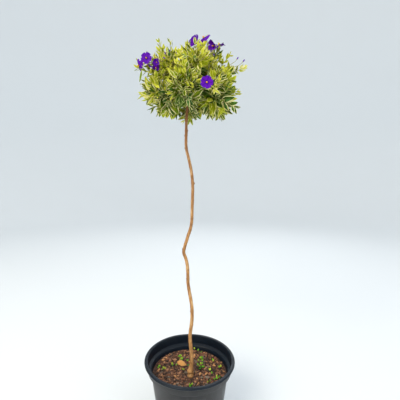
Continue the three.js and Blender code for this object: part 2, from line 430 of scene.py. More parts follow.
class Pattern:
    """A small shape to be repeated: its vertices, its faces and the slot of each face."""

    def __init__(self, piece):
        """Takes the shape from a modelled piece, which is then removed."""
        mesh = piece.data
        self.vertices = np.array([v.co for v in mesh.vertices])
        self.faces = [tuple(p.vertices) for p in mesh.polygons]
        self.slots = np.array([p.material_index for p in mesh.polygons])
        bpy.data.objects.remove(piece)
        bpy.data.meshes.remove(mesh)


class Joined:
    """Many copies of small patterns, gathered into the arrays of one mesh."""

    def __init__(self):
        self.vertices, self.corners, self.totals, self.slots = [], [], [], []
        self.count = 0

    def add(self, pattern, matrix, slots):
        """Adds a copy of the pattern, moved by the matrix, with its slots turned into the mesh's."""
        matrix = np.array(matrix)
        self.vertices.append(pattern.vertices @ matrix[:3, :3].T + matrix[:3, 3])
        for face in pattern.faces:
            self.corners.extend(self.count + corner for corner in face)
            self.totals.append(len(face))
        self.slots.append(np.array(slots)[pattern.slots])
        self.count += len(pattern.vertices)

    def piece(self, name, materials, smooth=True):
        """Makes the joined mesh's object."""
        mesh = bpy.data.meshes.new(name)
        totals = np.array(self.totals)
        mesh.vertices.add(self.count)
        mesh.vertices.foreach_set("co", np.concatenate(self.vertices).astype(np.float32).ravel())
        mesh.loops.add(len(self.corners))
        mesh.loops.foreach_set("vertex_index", self.corners)
        mesh.polygons.add(len(totals))
        mesh.polygons.foreach_set("loop_start", np.concatenate(([0], np.cumsum(totals)[:-1])))
        mesh.polygons.foreach_set("material_index", np.concatenate(self.slots).astype(np.int32))
        mesh.polygons.foreach_set("use_smooth", np.full(len(totals), smooth))
        for material in materials:
            mesh.materials.append(material)
        mesh.update(calc_edges=True)
        mesh.validate()
        piece = bpy.data.objects.new(name, mesh)
        bpy.context.scene.collection.objects.link(piece)
        return piece


def facing(place, along, normal, scale):
    """The matrix that puts a pattern at a place, its +Y along one direction and its +Z nearest another."""
    along = along.normalized()
    normal = normal - along * normal.dot(along)
    if normal.length < 1e-6:
        normal = along.orthogonal()
    normal.normalize()
    across = along.cross(normal)
    turn = Matrix((across, along, normal)).transposed().to_4x4()
    return Matrix.Translation(place) @ turn @ Matrix.Diagonal((scale, scale, scale, 1))


def limbs(name, runs, sides, material):
    """Round tapering limbs along runs of (place, radius) points, made as one curve and turned into a mesh."""
    deselect_all()
    bpy.ops.curve.primitive_bezier_curve_add(location=(0, 0, 0))
    piece = bpy.context.object
    curve = piece.data
    curve.splines.clear()
    for run in runs:
        spline = curve.splines.new("POLY")
        spline.points.add(len(run) - 1)
        for point, (place, radius) in zip(spline.points, run):
            point.co = (*place, 1)
            point.radius = radius
    curve.dimensions = "3D"
    curve.twist_mode = "MINIMUM"
    curve.bevel_depth = 1
    curve.bevel_resolution = max(0, sides // 2 - 2)
    curve.use_fill_caps = True
    bpy.ops.object.convert(target="MESH")
    piece = bpy.context.object
    bpy.ops.object.mode_set(mode="EDIT")
    bpy.ops.mesh.select_all(action="SELECT")
    bpy.ops.mesh.remove_doubles(threshold=0.00001)
    bpy.ops.mesh.normals_make_consistent(inside=False)
    bpy.ops.object.mode_set(mode="OBJECT")
    bpy.ops.object.shade_smooth()
    return finished(piece, name, [material])


def smooth_run(points, step):
    """A smooth curve through (place, radius) points, as new points about a step apart."""
    values = np.array([(*place, radius) for place, radius in points])
    values = np.vstack([2 * values[0] - values[1], values, 2 * values[-1] - values[-2]])
    run = []
    for a, b, c, d in zip(values, values[1:], values[2:], values[3:]):
        pieces = max(1, round(np.linalg.norm((c - b)[:3]) / step))
        for t in np.arange(pieces) / pieces:
            run.append(b + 0.5 * t * (c - a + t * (2 * a - 5 * b + 4 * c - d + t * (3 * (b - c) + d - a))))
    run.append(values[-2])
    return [(Vector(value[:3]), float(value[3])) for value in run]


# ---- pot -----------------------------------------------------------------------------------------


class POTATO_BUSH_OT_pot(Operator):
    """Model the moulded pot with its rolled lip, its stepped collar and its drain holes"""

    bl_idname = "potato_bush.pot"
    bl_label = "Pot"

    def execute(self, context):
        s = context.scene.bush_pot
        low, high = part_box("pot")
        height, rim = high.z, (high.x - low.x) / 2
        step = height - s.collar_height
        collar = rim - s.collar_inset
        slope = (s.wall_top_radius - s.foot_radius) / step
        floor = 1.2 * s.wall
        inner_foot = s.foot_radius - s.wall + slope * floor
        inner_top = s.wall_top_radius - s.wall
        half_lip = s.lip / 2
        drop = 3 * MM  # the step slopes by this much
        profile = [
            (s.foot_radius - 3 * MM, 0),
            (s.foot_radius - 1 * MM, 0.6 * MM),
            (s.foot_radius, 2.2 * MM),
            (s.wall_top_radius, step - drop),
            (collar - 1.2 * MM, step - 0.8 * MM),
            (collar, step + 0.6 * MM),
            (collar + 0.8 * MM, height - s.lip - 0.8 * MM),
            (collar + 1.8 * MM, height - s.lip),
            (rim - half_lip, height - s.lip),
        ]
        profile += arc((rim - half_lip, height - half_lip), half_lip, -70, 90, 9)
        profile += arc((collar + 1.8 * MM, height - 1.8 * MM), 1.8 * MM, 90, 180, 5)
        profile += [
            (collar - s.wall, height - 9 * MM),
            (collar - s.wall - 0.2 * MM, step + 2.6 * MM),
            (collar - s.wall - 1.6 * MM, step + 1.4 * MM),
            (inner_top + 1.4 * MM, step - 0.4 * MM),
            (inner_top, step - 1.8 * MM),
            (inner_top - slope * 6 * MM, step - 7.8 * MM),
            (inner_foot, floor + 1.5 * MM),
            (inner_foot - 1.5 * MM, floor),
            (inner_foot / 3, floor),
        ]
        piece = drawn_up(profile, s.sides)
        for hole in range(s.drain_holes):
            angle = 2 * math.pi * hole / s.drain_holes
            centre = (s.drain_circle * math.cos(angle), s.drain_circle * math.sin(angle), floor / 2)
            deselect_all()
            bpy.ops.mesh.primitive_cylinder_add(
                vertices=24, radius=s.drain_radius, depth=6 * floor, location=centre
            )
            drill = context.object
            apply_modifier(piece, "BOOLEAN", {"object": drill, "operation": "DIFFERENCE", "solver": "EXACT"})
            bpy.data.objects.remove(drill)
        deselect_all()
        piece.select_set(True)
        context.view_layer.objects.active = piece
        bpy.ops.object.shade_smooth_by_angle(angle=math.radians(40))
        dusty = moulded_polypropylene("Moulded black polypropylene, dusty", s.colour, 0.6, 0.5)
        shade_and_reflection = moulded_polypropylene("Moulded black polypropylene, rinsed and shade-painted", s.inside_shade_and_reflection_colour, 0.03, 0.25)
        finished(piece, "nursery_pot", [dusty, shade_and_reflection])
        # The inside and the top of the lip take the second material. Its darker, bluish colour is painted
        # shade inside the pot and a painted sky reflection on the lip, and it carries little dust.
        for face in piece.data.polygons:
            inward = face.normal.x * face.center.x + face.normal.y * face.center.y < 0
            inside = inward and face.center.z > floor and face.center.xy.length > inner_foot / 2
            face.material_index = int(inside or face.center.z > height - 0.7 * s.lip)
        hand_over(piece, "pot", "pot")
        return {"FINISHED"}


# ---- leaves --------------------------------------------------------------------------------------

CENTRE, SPLASH, MARGIN = range(3)  # a leaf's slots: green middle, paler splash and cream edge


def shape_blade(width, crease, curl, margin, splash=(), rows=6, widest=0.42, twist=0.0, wave=0.0):
    """A leaf one long from its stalk at the origin along +Y: a grid, shaped, creased and curled."""
    deselect_all()
    bpy.ops.mesh.primitive_grid_add(x_subdivisions=4, y_subdivisions=rows, size=1, location=(0, 0.5, 0))
    piece = bpy.context.object
    bpy.ops.object.transform_apply(location=True, rotation=False, scale=False)
    near = 0.01
    for face in piece.data.polygons:
        row = int(face.center.y * rows)
        side = -1 if face.center.x < 0 else 1
        edge = abs(face.center.x) > 0.25
        face.material_index = MARGIN if edge else SPLASH if side * (row + 1) in splash else CENTRE
    bpy.ops.object.mode_set(mode="EDIT")
    for row in range(rows + 1):
        share = row / rows
        skew = math.log(0.5) / math.log(widest)
        swell = max(0.03, math.sin(math.pi * share**skew) ** 0.85)
        select_where(lambda co: abs(co.y - share) < near)
        bpy.ops.transform.resize(value=(width * swell, 1, 1), center_override=(0, share, 0))
        green = 2 * (1 - margin * (1 + 0.35 * math.sin(4.1 * row + 31 * margin)))
        select_where(lambda co: abs(co.y - share) < near and abs(co.x) < 0.3 * width * swell)
        bpy.ops.transform.resize(value=(green, 1, 1), center_override=(0, share, 0))
        select_where(lambda co: abs(co.y - share) < near and abs(co.x) < 0.05 * width * swell)
        bpy.ops.transform.translate(value=(0, 0, -crease * width * swell))
        if wave:
            select_where(lambda co: abs(co.y - share) < near and co.x > 0.3 * width * swell)
            bpy.ops.transform.translate(value=(0, 0, wave * width * math.sin(2.6 * row)))
    for row in range(1, rows + 1):
        spine = [v.co for v in bmesh.from_edit_mesh(piece.data).verts]
        spine.sort(key=lambda co: co.y)
        hinge = spine[5 * (row - 1) + 2].copy()
        edge_of_row = spine[5 * row - 1].y + near
        rest = {v.index for v in bmesh.from_edit_mesh(piece.data).verts if v.co.y > edge_of_row}
        shape = bmesh.from_edit_mesh(piece.data)
        bpy.ops.mesh.select_all(action="DESELECT")
        for vertex in shape.verts:
            vertex.select = vertex.index in rest
        shape.select_flush(True)
        bmesh.update_edit_mesh(piece.data)
        bpy.ops.transform.rotate(value=curl / rows, orient_axis="X", center_override=hinge)
        if twist:
            bpy.ops.transform.rotate(value=twist / rows, orient_axis="Y", center_override=hinge)
    return Pattern(finished(piece, "blade", []))


# ---- compost -------------------------------------------------------------------------------------

CHIP_SHAPES = 7
WEEDS = (  # patches of seedlings: across and deep from the pot's middle in mm, and how many
    (-23, 52, 9),
    (32, 46, 8),
    (30, 22, 5),
    (33, 6, 5),
    (-7, 24, 2),
    (-71, 8, 3),
    (-84, 10, 2),
    (-48, 16, 4),
    (-16, -4, 2),
    (1, -62, 5),
    (49, -45, 2),
    (72, -34, 5),
    (84, 8, 3),
    (20, 84, 3),
    (61, 33, 2),
    (52, -14, 3),
)


def shape_chip(rng):
    """A splinter of bark about one long: a slab with its corners split off."""
    deselect_all()
    bpy.ops.mesh.primitive_cube_add(size=1)
    piece = bpy.context.object
    bpy.ops.object.mode_set(mode="EDIT")
    bpy.ops.mesh.select_all(action="SELECT")
    bpy.ops.transform.resize(value=(rng.uniform(0.45, 0.75), 1, rng.uniform(0.18, 0.34)))
    for _ in range(5):
        cut = rng.normal(size=3) * (1, 1, 0.7)
        cut /= np.linalg.norm(cut)
        bpy.ops.mesh.select_all(action="SELECT")
        bpy.ops.mesh.bisect(
            plane_co=cut * rng.uniform(0.18, 0.33),
            plane_no=cut,
            use_fill=True,
            clear_outer=True,
            threshold=1e-4,
        )
    bpy.ops.mesh.select_all(action="SELECT")
    bpy.ops.mesh.normals_make_consistent(inside=False)
    return Pattern(finished(piece, "chip", []))


def compost_height(x, y, high, foot):
    """How high the uneven compost lies at a place; it rises a little to the stem's foot."""
    lumps = noise.noise(Vector((x, y, 0)) / 0.022) + 0.5 * noise.noise(Vector((x, y, 3)) / 0.009)
    mound = math.exp(-(((x - foot.x) ** 2 + (y - foot.y) ** 2) / 0.024**2))
    return high.z - 1.2 * MM + 2.2 * MM * lumps * (1 - mound) + 1.0 * MM * mound


class POTATO_BUSH_OT_compost(Operator):
    """Fill the pot with peat and cover it with bark chips, weed seedlings and one fallen leaf"""

    bl_idname = "potato_bush.compost"
    bl_label = "Compost"

    def execute(self, context):
        s = context.scene.bush_compost
        rng = np.random.default_rng(s.seed)
        low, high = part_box("compost")
        top_radius = (high.x - low.x) / 2
        foot = Vector(stem_rings()[0][0])
        wall_low = context.scene.bush_pot.foot_radius - context.scene.bush_pot.wall - 0.4 * MM
        rings, sides = 44, 160
        deselect_all()
        corner = 2.4 * MM  # the foot of the peat is cut back to clear the round inside the pot's floor
        profile = [(wall_low - corner, low.z), (wall_low, low.z + corner), (top_radius, high.z - 1.2 * MM)]
        bed = drawn_up(profile, sides)
        context.view_layer.objects.active = bed
        bpy.ops.object.mode_set(mode="EDIT")
        select_where(lambda co: co.z > high.z - 2 * MM)
        for _ in range(rings):
            bpy.ops.mesh.inset(thickness=top_radius / (rings + 0.6))
        bpy.ops.mesh.poke()
        bpy.ops.object.mode_set(mode="OBJECT")
        for vertex in bed.data.vertices:
            x, y, z = vertex.co
            if z > high.z - 2 * MM and math.hypot(x, y) < top_radius - 1 * MM:
                crumbs = noise.fractal(Vector((x, y, 0)) / 0.0035, 1.0, 2.0, 3)
                vertex.co.z = compost_height(x, y, high, foot) + 1.0 * MM * crumbs
        deselect_all()
        bed.select_set(True)
        context.view_layer.objects.active = bed
        bpy.ops.object.shade_smooth_by_angle(angle=math.radians(60))
        finished(bed, "compost_bed", [damp_peat(s.peat)])
        hand_over(bed, "compost", "compost")

        chip_colours = (
            ("Pine bark chip, wet", "#33241b"),
            ("Pine bark chip, brown", "#5e402f"),
            ("Pine bark chip, rosy", "#80553f"),
            ("Pine bark chip, dry", "#986e50"),
            ("Wood splinter, tan", "#b98656"),
            ("Pine bark chip, grey", "#6f6355"),
        )
        chances = (0.30, 0.28, 0.18, 0.12, 0.06, 0.06)
        shapes = [shape_chip(rng) for _ in range(CHIP_SHAPES)]
        chips = Joined()
        for _ in range(s.chips):
            distance = (top_radius - 3 * MM) * math.sqrt(rng.random())
            bearing = rng.uniform(0, 2 * math.pi)
            x, y = distance * math.cos(bearing), distance * math.sin(bearing)
            length = s.chip_length * rng.lognormal(-0.18, 0.42)
            length = min(length, 2.1 * s.chip_length)
            colour = [int(rng.choice(len(chances), p=chances))]
            tilt = Vector(rng.normal(size=3) * (0.45, 0.45, 0.1)) + UP
            along = Vector((*rng.normal(size=2), 0.15 * rng.normal()))
            shape = shapes[rng.integers(CHIP_SHAPES)]
            near_stem = math.hypot(x - foot.x, y - foot.y) < 7 * MM + length / 2
            near_wall = distance + length / 2 > top_radius - 0.5 * MM
            if near_stem or near_wall:
                continue
            place = Vector((x, y, compost_height(x, y, high, foot) + rng.uniform(0, 1.6) * MM))
            chips.add(shape, facing(place, along, tilt, length), colour)
        materials = [plain_material(name, code, 0.88) for name, code in chip_colours]
        piece = chips.piece("bark_chips", materials, smooth=False)
        hand_over(piece, "compost")

        leaf = shape_blade(0.62, 0.12, math.radians(-70), 0.16, rows=4, widest=0.5)
        weeds = Joined()
        spots = [(x + rng.normal() * 5, y + rng.normal() * 5) for x, y, count in WEEDS for _ in range(count)]
        for x, y in spots:
            x, y = min(max(x, -90), 90) * MM, min(max(y, -90), 90) * MM
            height = rng.uniform(2, 6) * MM
            place = Vector((x, y, compost_height(x, y, high, foot) + height))
            green = [int(rng.choice(3, p=(0.5, 0.2, 0.3)))] * 3
            leaves = rng.integers(2, 6)
            turn = rng.uniform(0, 2 * math.pi)
            for number in range(leaves):
                angle = turn + 2 * math.pi * number / leaves + rng.uniform(-0.3, 0.3)
                along = Vector((math.cos(angle), math.sin(angle), rng.uniform(0.1, 0.7)))
                weeds.add(leaf, facing(place, along, UP, rng.uniform(3.5, 7) * MM), green)
        materials = [
            plain_material("Seed leaf, bright", "#86c440", 0.6, Specular_IOR_Level=0.2),
            plain_material("Seed leaf, green", "#569a38", 0.6, Specular_IOR_Level=0.2),
            plain_material("Seed leaf, yellow", "#bcd048", 0.6, Specular_IOR_Level=0.2),
        ]
        piece = weeds.piece("weed_seedlings", materials)
        hand_over(piece, "lower_leaves")

        blade = shape_blade(0.5, -0.16, math.radians(38), 0.3, rows=8, widest=0.45, twist=0.5, wave=0.12)
        fallen = Joined()
        place = Vector((foot.x - 38 * MM, foot.y + 50 * MM, high.z + 6 * MM))
        fallen.add(blade, facing(place, Vector((1, -0.42, 0.12)), Vector((0.1, -0.8, 1)), 30 * MM), [0, 0, 0])
        materials = [
            plain_material("Dry leaf, tan", "#c08a48", 0.7),
            plain_material("Dry leaf, pale", "#d9ab69", 0.7),
        ]
        piece = fallen.piece("fallen_leaf", materials)
        context.view_layer.objects.active = piece
        apply_modifier(piece, "SOLIDIFY", {"thickness": 0.5 * MM, "offset": 0})
        hand_over(piece, "compost")
        return {"FINISHED"}


# ---- stem and boughs -----------------------------------------------------------------------------

RING_GAP = 3 * MM  # two rings of the CAD stem lie further apart than this
STUBS = (  # old buds and pruning stubs: height up the stem, bearing in degrees, how far they stand out
    (0.053, 250, 1.3),
    (0.176, 20, 1.0),
    (0.223, 175, 0.9),
    (0.30, 110, 0.8),
    (0.338, 268, 0.6),
    (0.371, 275, 1.1),
    (0.445, 195, 1.2),
    (0.50, 60, 0.8),
    (0.555, 280, 1.0),
    (0.62, 150, 0.8),
    (0.685, -8, 2.2),
    (0.745, 95, 0.9),
    (0.813, 182, 1.2),
    (0.858, 170, 1.2),
    (0.876, 5, 1.3),
    (0.93, 260, 0.9),
)
# The lumps at the stem's foot: height in mm above it, bearing, how far they stand out, how tall.
KNOB = (
    (16.5, 245, 3.8, 3.8),
    (15, 150, 2.0, 3.6),
    (10.5, 265, -1.6, 2.0),
    (5, 290, 3.6, 3.4),
    (4, 205, 2.8, 3.2),
    (6, 40, 1.8, 3.4),
    (12, 350, 1.6, 3.0),
)


def stem_rings():
    """The middle and radius of each of the CAD stem's rings, from its foot up."""
    places = np.array([vertex.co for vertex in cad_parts["stem"].data.vertices])
    places = np.unique(places.round(6), axis=0)
    places = places[np.argsort(places[:, 2])]
    rings = np.split(places, np.where(np.diff(places[:, 2]) > RING_GAP)[0] + 1)
    return [(ring.mean(axis=0), np.linalg.norm(ring - ring.mean(axis=0), axis=1).mean()) for ring in rings]


def level(bearing):
    """The level direction at a bearing in degrees."""
    return Vector((math.cos(math.radians(bearing)), math.sin(math.radians(bearing)), 0))


def knuckle():
    """The middle of the swollen top of the stem, where the boughs start."""
    return Vector(stem_rings()[-1][0])


class POTATO_BUSH_OT_stem(Operator):
    """Model the wavy stem and its boughs with furrowed bark, old buds and pruning stubs"""

    bl_idname = "potato_bush.stem"
    bl_label = "Stem and Boughs"

    def execute(self, context):
        s = context.scene.bush_stem
        run = smooth_run(stem_rings(), s.step)
        runs = [run] + [mass.bough() for mass in head_masses()]
        piece = limbs("stem_and_boughs", runs, s.sides, fissured_bark(s.bark, s.old_bark_and_head_shade))
        middles = np.array([place for place, _ in run])
        low, high = middles[0][2], middles[-1][2]
        scars = np.zeros(len(piece.data.vertices))
        for vertex in piece.data.vertices:
            place = vertex.co
            share = (place.z - low) / (high - low)
            across = [np.interp(place.z, middles[:, 2], middles[:, axis]) for axis in (0, 1)]
            middle = Vector((*across, place.z))
            outward = place - middle
            radius = outward.length
            if radius < 0.5 * MM or share <= 0.0005:
                continue
            outward /= radius
            on_stem = share < 0.97
            ridges = noise.noise(Vector((outward.x * 2.6, outward.y * 2.6, place.z / 0.016)))
            grain = noise.noise(Vector((outward.x * 6, outward.y * 6, place.z / 0.007 + 9)))
            move = s.furrow * (1 - 2.4 * abs(ridges)) + 0.35 * s.furrow * grain
            if on_stem:
                for height, bearing, size in STUBS:
                    rise = (share - height) * (high - low)
                    bud = level(bearing)
                    aside = outward.angle(bud) * radius
                    near = math.exp(-((rise / (1.1 * size * MM + 0.6 * MM)) ** 2 + (aside / (1.3 * MM)) ** 2))
                    collar = 0.28 * MM * math.exp(-((rise / (2.2 * MM)) ** 2))
                    move += near * size * MM + collar
                    scars[vertex.index] = max(scars[vertex.index], 0.8 * near, 0.25 * collar / MM)
                for height, bearing, size, tall in KNOB:
                    rise = place.z - low - height * MM
                    lump = level(bearing)
                    near = math.exp(-((rise / (tall * MM)) ** 2) - (outward.angle(lump) / 0.9) ** 2)
                    move += near * size * MM
                foot_scar = 0.55 * math.exp(-(((place.z - low) / (9 * MM)) ** 2))
                scars[vertex.index] = max(scars[vertex.index], foot_scar)
            vertex.co = place + outward * move
        attribute = piece.data.attributes.new("scar", "FLOAT", "POINT")
        attribute.data.foreach_set("value", scars.astype(np.float32))
        hand_over(piece, "bark", "stem", *BOUGHS)
        return {"FINISHED"}


# ---- the head's branching ------------------------------------------------------------------------


# A tip is the furthest point within the first angle of its ray, and stands further out by the reach than
# the ring of points between the second angle and the third.
TIP_ITSELF, TIP_CLEAR, TIP_ROUND = math.radians(18), math.radians(24), math.radians(42)
TIP_REACH = 11 * MM
TRIES = 1400  # places tried for a twig's end on one mass
BARE_CLEARANCE = 34 * MM  # no twig ends closer to a bare shoot's tip than this


class Mass:
    """One leafy mass of the head: its outline, its middle, and the bough that carries it."""

    def __init__(self, node):
        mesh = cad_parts[node].data
        self.node = node
        self.vertices = np.array([vertex.co for vertex in mesh.vertices])
        self.triangles = np.array([face.vertices for face in mesh.polygons])
        self.outline = BVHTree.FromPolygons(self.vertices.tolist(), self.triangles.tolist())
        self.points = np.unique(self.vertices.round(5), axis=0)
        self.middle = Vector(self.points.mean(axis=0))

    def bough(self):
        """A bough's run of points, from inside the knuckle to deep in the mass, thinning as it goes."""
        start = knuckle()
        low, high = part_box(self.node.replace("head", "bough"))
        along = ((low + high) / 2 - start).normalized()
        sideways = along.cross(UP).normalized()
        reach = (self.middle - start).length
        places = []
        for share in (0.05, 0.25, 0.45, 0.7, 0.95):
            sway = 0.05 * reach * math.sin(5 * share + 9 * self.middle.x / reach)
            sag = UP * 0.06 * reach * share * (1 - share) * 4
            place = start + along * reach * share + sideways * sway - sag
            places.append((place, (3.4 - 1.9 * share) * MM))
        return smooth_run(places, 4 * MM)

    def tips(self, head_middle):
        """The points that stand far out of the mass and of the head, as (place, outward) pairs."""
        rays = self.points - np.array(self.middle)
        reach = np.linalg.norm(rays, axis=1)
        rays /= reach[:, None]
        cosines = rays @ rays.T
        found = []
        for i in range(len(rays)):
            close = cosines[i] > math.cos(TIP_ITSELF)
            round_about = (cosines[i] < math.cos(TIP_CLEAR)) & (cosines[i] > math.cos(TIP_ROUND))
            place, ray = Vector(self.points[i]), Vector(rays[i])
            outer = ray.dot((place - head_middle).normalized()) > 0.4
            if outer and reach[i] >= reach[close].max() and reach[i] > reach[round_about].mean() + TIP_REACH:
                found.append((place, ray))
        return found


def head_masses():
    """The leafy masses, the lower ring first."""
    return [Mass(node) for node in LOWER_MASSES + UPPER_MASSES]


def head_box():
    """The lowest and highest corners of the whole head."""
    corners = [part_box(node) for node in LOWER_MASSES + UPPER_MASSES]
    low = Vector([min(corner[0][axis] for corner in corners) for axis in range(3)])
    high = Vector([max(corner[1][axis] for corner in corners) for axis in range(3)])
    return low, high


def in_box(low, high, shares):
    """The place at three shares of a box's sides."""
    return low + Vector([share * (high - low)[axis] for axis, share in enumerate(shares)])


def bare_places():
    """Where the bare shoots end."""
    low, high = head_box()
    return [in_box(low, high, shoot) for shoot in BARE_SHOOTS]


def spread_ends(mass, s, rng, taken, middle, bare):
    """Twig ends spread evenly inside a mass's outline, as (place, outward) pairs, clear of bare shoots."""
    corners = mass.vertices[mass.triangles]
    normals = np.cross(corners[:, 1] - corners[:, 0], corners[:, 2] - corners[:, 0])
    areas = np.linalg.norm(normals, axis=1)
    normals /= areas[:, None]
    picks = rng.choice(len(areas), size=TRIES, p=areas / areas.sum())
    a, b = rng.random((2, len(picks), 1))
    folded = a + b > 1
    a, b = np.where(folded, 1 - a, a), np.where(folded, 1 - b, b)
    first, second, third = corners[picks].transpose(1, 0, 2)
    spots = first + a * (second - first) + b * (third - first)
    depths = s.inset * rng.uniform(0.55, 1.75, len(picks))
    chances = rng.random(len(picks))
    ends = []
    for spot, normal, depth, chance in zip(spots, normals[picks], depths, chances):
        exposed = normal @ (spot - middle) / np.linalg.norm(spot - middle) > 0.2
        if not exposed and chance > 0.1:
            continue
        place = spot - normal * depth
        if any((Vector(spot) - shoot).length < BARE_CLEARANCE for shoot in bare):
            continue
        if taken and np.min(np.linalg.norm(np.array(taken) - place, axis=1)) < s.spacing:
            continue
        taken.append(place)
        ends.append((Vector(place), Vector(normal)))
    return ends


def gathered(ends, count, rng):
    """The twig ends in a few groups of neighbours, each group to share one branch."""
    places = np.array([place for place, _ in ends])
    hubs = places[rng.choice(len(places), size=count, replace=False)]
    for _ in range(12):
        owner = np.argmin(np.linalg.norm(places[:, None] - hubs[None], axis=2), axis=1)
        groups = [places[owner == k] for k in range(count)]
        hubs = np.array([group.mean(axis=0) if len(group) else hub for group, hub in zip(groups, hubs)])
    return [([end for end, o in zip(ends, owner) if o == k], Vector(hubs[k])) for k in range(count)]


def curved(start, bend, end, radii, rng, step=7 * MM):
    """A limb that leaves its start towards bend and curves to its end, a little crooked."""
    pieces = max(3, round((end - start).length / step))
    run = []
    for i in range(pieces + 1):
        t = i / pieces
        place = start * (1 - t) ** 2 + bend * 2 * t * (1 - t) + end * t**2
        if 0 < i < pieces:
            place += Vector(rng.normal(size=3)) * 0.5 * MM
        run.append((place, radii[0] + (radii[1] - radii[0]) * t))
    return run


def grow_head(s):
    """The head's branch runs and its leafy twigs, each twig a run, its outward way, its kind and its mass."""
    rng = np.random.default_rng(s.seed)
    low, high = head_box()
    middle = np.array((low + high) / 2)
    bare = bare_places()
    branches, twigs, taken = [], [], []
    for mass in head_masses():
        tips = mass.tips(Vector(middle))
        taken += [np.array(place - ray * s.inset) for place, ray in tips]
        ends = spread_ends(mass, s, rng, taken, middle, bare)
        bough = mass.bough()
        for group, hub in gathered(ends, max(2, round(len(ends) / 7)), rng):
            if not group:
                continue
            start, thickness = bough[int(rng.uniform(0.45, 0.98) * (len(bough) - 1))]
            fork = start.lerp(hub, 0.55) + Vector(rng.normal(size=3)) * 3 * MM
            along = (fork - start).normalized()
            sagging = start.lerp(fork, 0.5) - UP * 3 * MM
            branches.append(curved(start, sagging, fork, (0.75 * thickness, 1.3 * MM), rng))
            for place, outward in group:
                bend = fork + along * 0.45 * (place - fork).length
                run = curved(fork, bend, place, (1.15 * MM, 0.65 * MM), rng)
                twigs.append((run, outward, "twig", mass))
        for place, ray in tips:
            kind = "bare" if any((place - shoot).length < 15 * MM for shoot in bare) else "shoot"
            start, thickness = bough[int(0.8 * (len(bough) - 1))]
            end = place - ray * 12 * MM
            bend = start.lerp(end, 0.5) + (ray - UP * 0.5) * 6 * MM
            run = curved(start, bend, end, (1.3 * MM, 0.7 * MM), rng)
            twigs.append((run, ray, kind, mass))
    return branches, twigs


# ---- the head's leaves ---------------------------------------------------------------------------

LEAF_COLOURS = (
    ("Variegated leaf, lime", "#aab41c"),
    ("Variegated leaf, fresh green", "#8b9a14"),
    ("Variegated leaf, mid green", "#647a12"),
    ("Variegated leaf, deep green", "#3e5a12"),
    ("Variegated leaf, bluish green", "#4c7634"),
    ("Variegated leaf, cream", "#f2eaa6"),
    ("Variegated leaf, butter", "#e6e06c"),
    ("Variegated leaf, pale lime", "#c8cd3c"),
    ("Variegated leaf, greyish green", "#a6b468"),
)
LIME, FRESH, MID, DEEP, BLUISH, CREAM, BUTTER, PALE, GREYISH = range(len(LEAF_COLOURS))
BARE_SHOOTS = ((1.0, 0.48, 0.64), (0.957, 0.55, 0.39))  # shares of the head's box; leafy only at their ends
# Middle, splash and edge of a spray's leaves, with its chance at the bottom and at the top of the head.
# Paler, yellower tints are likelier at the top and deeper greens at the bottom: partly the leaves' own
# colour, partly painted light on the top and painted shade under the head.
TINTS = (
    ((LIME, PALE, BUTTER), 0.01, 0.28),
    ((FRESH, LIME, BUTTER), 0.06, 0.22),
    ((FRESH, PALE, CREAM), 0.12, 0.22),
    ((MID, FRESH, CREAM), 0.26, 0.09),
    ((DEEP, MID, GREYISH), 0.16, 0.01),
    ((DEEP, MID, CREAM), 0.22, 0.02),
    ((DEEP, BLUISH, CREAM), 0.09, 0.01),
    ((BLUISH, GREYISH, CREAM), 0.06, 0.02),
    ((PALE, CREAM, CREAM), 0.02, 0.13),
)


def leaf_patterns():
    """The few leaf shapes that every spray is made of, from broad old leaves to narrow young ones."""
    degrees = math.radians
    return [
        shape_blade(0.50, 0.10, degrees(-34), 0.30, splash=(-3, -4)),
        shape_blade(0.43, 0.16, degrees(-22), 0.38, splash=(2, 3, 4), twist=0.35),
        shape_blade(0.54, 0.08, degrees(-52), 0.28, splash=(4, 5), wave=0.07),
        shape_blade(0.38, 0.22, degrees(-12), 0.34, splash=(-2,), widest=0.48),
        shape_blade(0.47, 0.12, degrees(-40), 0.46, splash=(1, 2, 3, 4, 5), twist=-0.4, wave=-0.05),
        shape_blade(0.34, 0.28, degrees(16), 0.30, widest=0.5),
    ]


# Long leaves that hang clear of the head: place in shares of its box, the way they hang, length and tint.
HANGING = (
    ((0.068, 0.45, 0.60), (-0.02, -0.1, -1), 0.036, (MID, GREYISH, GREYISH)),
    ((0.085, 0.50, 0.345), (-0.5, -0.2, -0.75), 0.028, (FRESH, PALE, BUTTER)),
)


